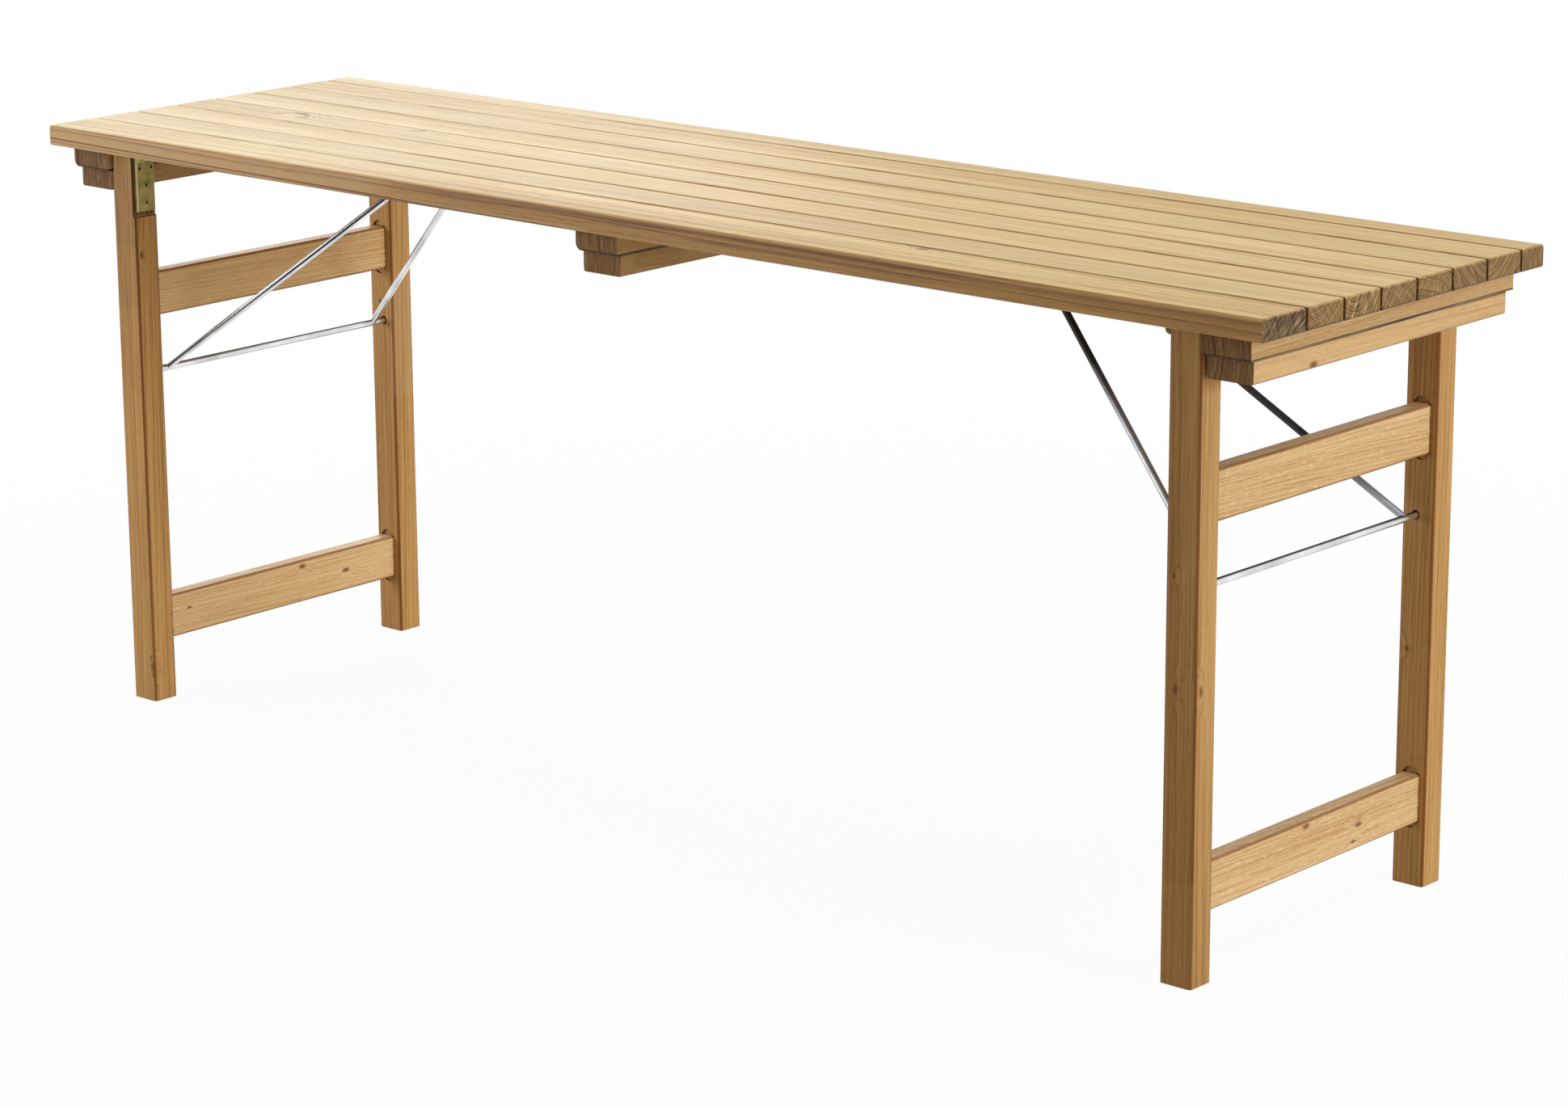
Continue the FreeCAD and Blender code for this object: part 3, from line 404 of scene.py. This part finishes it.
# Rails
# Two oak rails tie each pair of legs, their ends let into round-ended mortises in the legs.
# They are planed from wider boards, so their faces show flames and a few small knots, and painted shade lies
# along their shoulders.
RAIL_HEARTS = {
    "left_upper_rail": (-770, 470), "left_lower_rail": (-790, 150), "right_upper_rail": (830, 470),
    "right_lower_rail": (812, 96),
}
RAIL_TONES = {"left_upper_rail": 1.28, "left_lower_rail": 1.2}
RAIL_LEAN = (1.2, 0.0, 2.0)
WHEAT_OAK = ("#e4c492", "#bb8f58")
RAIL_KNOTS = {
    "right_lower_rail": [((804.2, 79, 99), 3), ((804.2, -18, 121), 3), ((804.2, 70, 82), 2)],
    "left_lower_rail": [((-782.2, -159, 105), 1.8), ((-782.2, 32, 119), 3), ((-782.2, 107, 99), 3)],
}
leg_inner_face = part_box("left_back_leg")[0][Y] / MM
# A thin band of painted shade on each rail beside the legs.
RAIL_SHOULDER_SHADE = [((0, row * leg_inner_face, 0), (ALL_ALONG, 1.8, ALL_ALONG), 0.8, PAINTED_SHADE) for row in (-1, 1)]
for rail, (across, up) in RAIL_HEARTS.items():
    wood = oiled_oak(f"oiled_oak_{rail}", Y, (across, 0, up), RAIL_LEAN, WHEAT_OAK,
                     tone=RAIL_TONES.get(rail, 1.0), gloss=0.3, contrast=1.4, figure=0.7, flecked=0.5,
                     edge_shade=0.8, knots=RAIL_KNOTS.get(rail, ()), marked=RAIL_SHOULDER_SHADE)
    dress(rail, wood)


# Hinges
# Each leg hangs on a steel hinge of two leaves rolled round a plain pin, one let into the leg and one
# screwed under the slats. The steel is zinc plated and yellow passivated, which leaves a dull olive gold
# with faint green clouds, worn paler along the bevelled edges. Those on the right are darkened by painted
# shade.
CLOUD_SIZE, CLOUDS = 14 * MM, (0.35, 0.65)
RUB_SIZE, RUBS, RUB_DEPTH = 1.5 * MM, (0.55, 0.8), 0.6
BEVEL, BEVEL_DEPTH = (0.95, 0.8), 0.7
GOLD_ROUGHNESS = (0.32, 0.52)
RUB_BUMP, RUB_HEIGHT = 0.15, 0.1 * MM
GOLD, GREEN_GOLD, WORN_ZINC = "#917d46", "#6b6635", "#b3a87c"
# The right-hand hinges' lower tone is painted shade.
HINGE_SHADE_TONE = 0.4


def passivated_steel(name, tone=1.0):
    """Yellow-passivated zinc on steel, darkened by a lower tone, which on the right-hand hinges is painted
    shade.
    """
    material = new_material(name)
    tree = material.node_tree
    place = add(tree, "TexCoord", {}, {})
    spot = place.outputs["Object"]
    clouds = add(tree, "TexNoise", {}, {"Vector": spot, "Scale": 1 / CLOUD_SIZE, "Detail": 3.0})
    rubs = add(tree, "TexNoise", {}, {"Vector": spot, "Scale": 1 / RUB_SIZE, "Detail": 4.0})
    tint = add(tree, "MapRange", {}, {"Value": clouds.outputs["Fac"], 1: CLOUDS[0], 2: CLOUDS[1]})
    colour = add(tree, "Mix", PAINT, {0: tint.outputs[0], 6: linear(GOLD, tone), 7: linear(GREEN_GOLD, tone)})
    worn = add(tree, "MapRange", {}, {"Value": rubs.outputs["Fac"], 1: RUBS[0], 2: RUBS[1], 4: RUB_DEPTH})
    flatness = largest(tree, place.outputs["Normal"])
    bevel = add(tree, "MapRange", {}, {"Value": flatness, 1: BEVEL[0], 2: BEVEL[1], 4: BEVEL_DEPTH})
    bare = add(tree, "Math", {"operation": "MAXIMUM"}, {0: worn.outputs[0], 1: bevel.outputs[0]})
    colour = add(tree, "Mix", PAINT, {0: bare.outputs[0], 6: colour.outputs[2], 7: linear(WORN_ZINC, tone)})
    rough = add(tree, "MapRange", {},
                {"Value": rubs.outputs["Fac"], 3: GOLD_ROUGHNESS[0], 4: GOLD_ROUGHNESS[1]})
    bump = add(tree, "Bump", {},
               {"Height": rubs.outputs["Fac"], "Strength": RUB_BUMP, "Distance": RUB_HEIGHT})
    shader = add(tree, "BsdfPrincipled", {}, {"Base Color": colour.outputs[2], "Metallic": 1.0,
                                              "Roughness": rough.outputs[0], "Normal": bump.outputs[0]})
    add(tree, "OutputMaterial", {}, {"Surface": shader.outputs[0]})
    return material


hinge_steel = {"left": passivated_steel("yellow_passivated_steel"),
               "right": passivated_steel("shaded_passivated_steel", HINGE_SHADE_TONE)}
for side, steel in hinge_steel.items():
    for row in ("front", "back"):
        for piece in ("hinge_leg_leaf", "hinge_top_leaf", "hinge_pin"):
            dress(f"{side}_{row}_{piece}", steel)


# Stays
# A frame of 8 mm round steel rod braces each pair of legs: a bar turns in the legs, and two arms welded to
# it rise to a nose bar that springs into the keeper under the slats. The rod is drawn and bright zinc plated.
# Painted reflection of the table's dark underside lies as a dark band along the upper parts of the arms, and
# in thin lines along the bars.
# The drawing marks are drawn at 0.8 mm, many times their real width, because finer ones don't show.
DRAWN_MARK = 0.8 * MM
DULL_PATCH, DULL_PATCHES = 40 * MM, (0.35, 0.7)
ZINC_ROUGHNESS, BAND_ROUGHER = (0.16, 0.36), 0.35
DRAWN_BUMP, DRAWN_HEIGHT = 0.12, 0.05 * MM
BAND_DEPTH, BAND_FADE = 0.95, 60 * MM
# The near-black colour is painted dark reflection of the table's underside.
ZINC, ZINC_SHADE, REFLECTED_DARK = "#eceef0", "#c3c7cb", "#1b1814"


def bright_zinc(name, level=0.0, unbanded=3.0, black=4.0, thin=1.0, below=0.0):
    """Bright zinc plating on drawn steel, with a band of painted dark reflection. The share by which a
    surface faces up lies some way off a level, and the painted reflection grows as that goes from unbanded to
    black. No share reaches 2, so with both beyond it the steel is unbanded, or black all round where black is
    the lesser. Only a thin share of the painted reflection is left below a height in millimetres."""
    material = new_material(name)
    tree = material.node_tree
    place = add(tree, "TexCoord", {}, {})
    spot = place.outputs["Object"]
    specks = add(tree, "TexNoise", {}, {"Vector": spot, "Scale": 1 / DRAWN_MARK, "Detail": 3.0})
    dull = add(tree, "TexNoise", {}, {"Vector": spot, "Scale": 1 / DULL_PATCH, "Detail": 3.0})
    dull = add(tree, "MapRange", {}, {"Value": dull.outputs["Fac"], 1: DULL_PATCHES[0], 2: DULL_PATCHES[1]})
    colour = add(tree, "Mix", PAINT, {0: dull.outputs[0], 6: linear(ZINC), 7: linear(ZINC_SHADE)})
    # A band of painted dark reflection, set by which way the surface faces.
    upward = add(tree, "VectorMath", {"operation": "DOT_PRODUCT"},
                 {0: place.outputs["Normal"], 1: (0.0, 0.0, 1.0)})
    off = add(tree, "Math", {"operation": "SUBTRACT"}, {0: upward.outputs["Value"], 1: level})
    off = add(tree, "Math", {"operation": "ABSOLUTE"}, {0: off.outputs[0]})
    dark_band = add(tree, "MapRange", {}, {"Value": off.outputs[0], 1: unbanded, 2: black, 4: BAND_DEPTH})
    high = add(tree, "SeparateXYZ", {}, {0: spot})
    faded_band = add(tree, "MapRange", {},
                {"Value": high.outputs["Z"], 1: below * MM, 2: below * MM + BAND_FADE, 3: thin})
    dark_band = add(tree, "Math", {"operation": "MULTIPLY"}, {0: dark_band.outputs[0], 1: faded_band.outputs[0]})
    colour = add(tree, "Mix", PAINT, {0: dark_band.outputs[0], 6: colour.outputs[2], 7: linear(REFLECTED_DARK)})
    rough = add(tree, "MapRange", {},
                {"Value": specks.outputs["Fac"], 3: ZINC_ROUGHNESS[0], 4: ZINC_ROUGHNESS[1]})
    rough = add(tree, "Math", {"operation": "MULTIPLY_ADD"},
                {0: dark_band.outputs[0], 1: BAND_ROUGHER, 2: rough.outputs[0]})
    bump = add(tree, "Bump", {}, {"Height": specks.outputs["Fac"], "Strength": DRAWN_BUMP,
                                  "Distance": DRAWN_HEIGHT})
    shader = add(tree, "BsdfPrincipled", {}, {"Base Color": colour.outputs[2], "Metallic": 1.0,
                                              "Roughness": rough.outputs[0], "Normal": bump.outputs[0]})
    add(tree, "OutputMaterial", {}, {"Surface": shader.outputs[0]})
    return material


unbanded_steel = bright_zinc("bright_zinc_rod")
# The bars get thin lines of painted dark reflection along their tops and bottoms.
bar_steel = bright_zinc("bright_zinc_bar", unbanded=0.7, black=0.9)
# Painted dark reflection on the arms: in a band on the left front arm, and all round above a height on the
# right ones.
arm_steel = {
    "left_stay_front_arm": bright_zinc("bright_zinc_banded_rod", 0.03, 0.38, 0.24, thin=0.8, below=480),
    "left_stay_back_arm": unbanded_steel,
    "right_stay_front_arm": bright_zinc("bright_zinc_half_reflected_dark_rod", 0.0, 3.0, 2.0, thin=0.5, below=535),
    "right_stay_back_arm": bright_zinc("bright_zinc_reflected_dark_rod", 0.0, 3.0, 2.0, thin=0.6, below=430),
}
for arm, steel in arm_steel.items():
    dress(arm, steel)
for side in ("left", "right"):
    for piece in ("stay_bar", "stay_nose"):
        dress(f"{side}_{piece}", bar_steel)


# Keepers
# A strip of spring steel under the slats, curled at its end, catches each stay's nose bar.
# It is zinc plated and screwed up into a slat.
for side in ("left", "right"):
    dress(f"{side}_stay_keeper", unbanded_steel)


# Screws
# Countersunk wood screws with a cross recess hold the battens, hinges and keepers.
# They are yellow passivated like the hinges, turned with a flat head and punched with the cross.
HEAD_RADIUS = 4.3 * MM
HEAD_PROUD = 0.12 * MM
HEAD_DEPTH = 2.4 * MM
RIM_DROP = 0.21 * MM
RIM_INSET, NECK_SHARE = 0.9, 0.55
RIM_SIDES = 24
CROSS_REACH = 2.6 * MM
CROSS_HALF = 0.75 * MM
CROSS_DEPTH = 1.6 * MM
CROSS_TAPER = (0.6, 0.7)
DRIVEN_TURN = 37
DOUBLED = 0.001 * MM


def screw_places(name, facing):
    """The middle of each screw head in a CAD node, read from the box round each separate solid."""
    mesh = bmesh.new()
    mesh.from_mesh(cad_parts[name].data)
    bmesh.ops.remove_doubles(mesh, verts=mesh.verts, dist=DOUBLED)
    waiting = set(mesh.verts)
    places = []
    while waiting:
        island = [waiting.pop()]
        for vertex in island:
            for edge in vertex.link_edges:
                other = edge.other_vert(vertex)
                if other in waiting:
                    waiting.remove(other)
                    island.append(other)
        low = Vector([min(v.co[axis] for v in island) for axis in (X, Y, Z)])
        high = Vector([max(v.co[axis] for v in island) for axis in (X, Y, Z)])
        half = (high - low) / 2
        places.append((low + high) / 2 + Vector([facing[axis] * half[axis] for axis in (X, Y, Z)]))
    mesh.free()
    return places


def cross_outline(reach, half, height):
    """The twelve corners of a cross recess at a height."""
    quarter = [(reach, -half, height), (reach, half, height), (half, half, height)]
    turned = []
    for quarters in range(4):
        turn = Matrix.Rotation(quarters * math.pi / 2, 3, "Z")
        turned += [turn @ Vector(corner) for corner in quarter]
    return turned


def rim(radius, height):
    """Points round a screw head at a height."""
    turns = [math.tau * side / RIM_SIDES for side in range(RIM_SIDES)]
    return [Vector((radius * math.cos(turn), radius * math.sin(turn), height)) for turn in turns]


def screw_heads(name, node_name, body, facing):
    """One piece with a round countersunk head at each screw of a CAD node."""
    mesh = bmesh.new()
    upright = Vector(facing).to_track_quat("Z", "Y").to_matrix().to_4x4()
    for number, middle in enumerate(screw_places(node_name, facing)):
        spin = Matrix.Rotation(math.radians(DRIVEN_TURN * number), 4, "Z")
        stand = Matrix.Translation(middle) @ upright @ spin
        face, edge, neck, mouth, pit = [[mesh.verts.new(stand @ point) for point in loop] for loop in (
            rim(HEAD_RADIUS * RIM_INSET, HEAD_PROUD), rim(HEAD_RADIUS, HEAD_PROUD - RIM_DROP),
            rim(HEAD_RADIUS * NECK_SHARE, -HEAD_DEPTH), cross_outline(CROSS_REACH, CROSS_HALF, HEAD_PROUD),
            cross_outline(CROSS_REACH * CROSS_TAPER[0], CROSS_HALF * CROSS_TAPER[1], -CROSS_DEPTH))]
        for outer, inner in ((face, edge), (edge, neck)):
            for side in range(RIM_SIDES):
                after = (side + 1) % RIM_SIDES
                mesh.faces.new((outer[side], inner[side], inner[after], outer[after]))
        mesh.faces.new(list(reversed(neck)))
        for side in range(len(mouth)):
            after = (side + 1) % len(mouth)
            mesh.faces.new((mouth[side], mouth[after], pit[after], pit[side])).material_index = 1
        mesh.faces.new(pit).material_index = 1
        edges = [mesh.edges.get((loop[side], loop[(side + 1) % len(loop)]))
                 for loop in (face, mouth) for side in range(len(loop))]
        bmesh.ops.triangle_fill(mesh, use_beauty=True, edges=edges, normal=Vector(facing))
    bmesh.ops.recalc_face_normals(mesh, faces=mesh.faces)
    data = bpy.data.meshes.new(name)
    mesh.to_mesh(data)
    mesh.free()
    data.materials.append(screw_steel)
    data.materials.append(shaded_recess_steel)
    piece = bpy.data.objects.new(name, data)
    bpy.context.scene.collection.objects.link(piece)
    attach(piece, body)
    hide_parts(node_name)


# Punched recess: the driver has rubbed its plating off, and its near-black mottled colour is painted shade.
RECESS_SHADE, RECESS_SHADE_MOTTLE = "#2b2519", "#4a3f2a"
MOTTLE_GRAIN = 0.4 * MM
shaded_recess_steel = new_material("shaded_punched_steel")
tree = shaded_recess_steel.node_tree
place = add(tree, "TexCoord", {}, {})
mottle = add(tree, "TexNoise", {}, {"Vector": place.outputs["Object"], "Scale": 1 / MOTTLE_GRAIN, "Detail": 2.0})
colour = add(tree, "Mix", PAINT, {0: mottle.outputs["Fac"], 6: linear(RECESS_SHADE), 7: linear(RECESS_SHADE_MOTTLE)})
shader = add(tree, "BsdfPrincipled", {}, {"Base Color": colour.outputs[2], "Metallic": 0.6, "Roughness": 0.6})
add(tree, "OutputMaterial", {}, {"Surface": shader.outputs[0]})

screw_steel = passivated_steel("yellow_passivated_screw")
DOWN, RIGHT, LEFT = (0, 0, -1), (1, 0, 0), (-1, 0, 0)
for node_name, body, facing in (("batten_screws", "tabletop", DOWN), ("top_leaf_screws", "tabletop", DOWN),
                                ("keeper_screws", "tabletop", DOWN),
                                ("left_hinge_screws", "left_leg_frame", RIGHT),
                                ("right_hinge_screws", "right_leg_frame", LEFT)):
    screw_heads(f"{node_name}_heads", node_name, body, facing)


# Floor and air
# A plain white studio floor runs out of the picture on every side. It glows white to the camera and in
# the rods' reflections, and the rest of it is matt, so the table's shadow stays on it.
FLOOR_HALF = 14.0
FLOOR_SIDES = 96
FLOOR_WHITE, FLOOR_BOUNCE = "#fbfbfa", "#b8ad98"
FLOOR_GLOW = 0.96
SHADOW_REACH = (1.1, 2.4)
floor_mesh = bmesh.new()
bmesh.ops.create_circle(floor_mesh, cap_ends=True, segments=FLOOR_SIDES, radius=FLOOR_HALF)
floor_data = bpy.data.meshes.new("studio_floor")
floor_mesh.to_mesh(floor_data)
floor_mesh.free()
floor = bpy.data.objects.new("studio_floor", floor_data)
bpy.context.scene.collection.objects.link(floor)
floor_white = new_material("matt_white_floor")
tree = floor_white.node_tree
path = add(tree, "LightPath", {}, {})
seen = add(tree, "Math", {"operation": "MAXIMUM"},
           {0: path.outputs["Is Camera Ray"], 1: path.outputs["Is Glossy Ray"]})
seen = add(tree, "Math", {"operation": "MAXIMUM"},
           {0: seen.outputs[0], 1: path.outputs["Is Transmission Ray"]})
place = add(tree, "TexCoord", {}, {})
far = add(tree, "VectorMath", {"operation": "LENGTH"}, {0: place.outputs["Object"]})
white = add(tree, "MapRange", {}, {"Value": far.outputs["Value"], 1: SHADOW_REACH[0], 2: SHADOW_REACH[1],
                                   3: FLOOR_GLOW, 4: 1.0})
share = add(tree, "Math", {"operation": "MULTIPLY"}, {0: seen.outputs[0], 1: white.outputs[0]})
paint = add(tree, "Mix", PAINT, {0: seen.outputs[0], 6: linear(FLOOR_BOUNCE), 7: linear(FLOOR_WHITE)})
matt = add(tree, "BsdfDiffuse", {}, {"Color": paint.outputs[2]})
glow = add(tree, "Emission", {}, {"Color": (1.0, 1.0, 1.0, 1.0), "Strength": 1.0})
both = add(tree, "MixShader", {}, {0: share.outputs[0], 1: matt.outputs[0], 2: glow.outputs[0]})
add(tree, "OutputMaterial", {}, {"Surface": both.outputs[0]})
floor_data.materials.append(floor_white)

AMBIENT = 0.305
WARM_AIR, WHITE = "#ffeed2", "#ffffff"
world = bpy.data.worlds.new("studio_air")
world.use_nodes = True
tree = world.node_tree
tree.nodes.clear()
path = add(tree, "LightPath", {}, {})
seen = add(tree, "Math", {"operation": "MAXIMUM"},
           {0: path.outputs["Is Camera Ray"], 1: path.outputs["Is Glossy Ray"]})
seen = add(tree, "Math", {"operation": "MAXIMUM"},
           {0: seen.outputs[0], 1: path.outputs["Is Transmission Ray"]})
strength = add(tree, "MapRange", {}, {"Value": seen.outputs[0], 3: AMBIENT, 4: 1.0})
hue = add(tree, "Mix", PAINT, {0: seen.outputs[0], 6: linear(WARM_AIR), 7: linear(WHITE)})
air = add(tree, "Background", {}, {"Color": hue.outputs[2], "Strength": strength.outputs[0]})
add(tree, "OutputWorld", {}, {"Surface": air.outputs[0]})
bpy.context.scene.world = world


# Lamps
# A large soft box far off to the right is the main light and reaches under the top, one above lights the top,
# and a small one at the front left fills the front faces there. One behind on the left lies in the mirror
# line of the top, and gives its far end the sheen. The air is warm, and the lamps are white or cooler.
# Each has its tint, where it stands, what it is aimed at, its width in metres, and its watts.
SOFT_BOXES = {
    "main_soft_box": ("#f8fbff", (14.0, 0.9, 2.6), (0.0, 0.0, 0.4), 5.2, 1280.0),
    "top_soft_box": ("#ecf6ff", (0.9, 0.6, 3.4), (0.2, 0.0, 0.7), 3.0, 54.0),
    "fill_soft_box": ("#f0f4ff", (-2.4, -2.3, 1.2), (-0.7, 0.0, 0.4), 1.4, 40.0),
    "sheen_soft_box": ("#ffffff", (-3.3, 2.4, 1.7), (-0.6, 0.0, 0.7), 2.0, 29.0),
}
for name, (tint, stand, aim, width, watts) in SOFT_BOXES.items():
    lamp = bpy.data.lights.new(name, "AREA")
    lamp.color = linear(tint)[:3]
    lamp.shape = "SQUARE"
    lamp.size = width
    lamp.energy = watts
    hung = bpy.data.objects.new(name, lamp)
    bpy.context.scene.collection.objects.link(hung)
    hung.location = stand
    hung.visible_camera = False
    hung.rotation_mode = "QUATERNION"
    hung.rotation_quaternion = (Vector(aim) - Vector(stand)).to_track_quat("-Z", "Y")


# Camera
# Seen from the front right and a little above through a long lens, as in the photograph.
# The lens's length is given in pixels of the photograph, which is 1940 pixels wide.
SENSOR = 36.0
IMAGE_WIDTH = 1940
FOCUS = 5589
FAR_CLIP = 100.0
CAMERA_AT = (3.361, -3.736, 1.598)
YAW, PITCH, ROLL = 41.42, 14.76, -0.33
eye = bpy.data.cameras.new("photo_camera")
eye.sensor_width = SENSOR
eye.lens = FOCUS * SENSOR / IMAGE_WIDTH
eye.clip_end = FAR_CLIP
camera = bpy.data.objects.new("photo_camera", eye)
bpy.context.scene.collection.objects.link(camera)
turned = Matrix.Rotation(math.radians(YAW), 4, "Z") @ Matrix.Rotation(math.radians(90 - PITCH), 4, "X")
camera.matrix_world = Matrix.Translation(CAMERA_AT) @ turned @ Matrix.Rotation(math.radians(ROLL), 4, "Z")
bpy.context.scene.camera = camera
bpy.context.scene.view_settings.view_transform = "Standard"
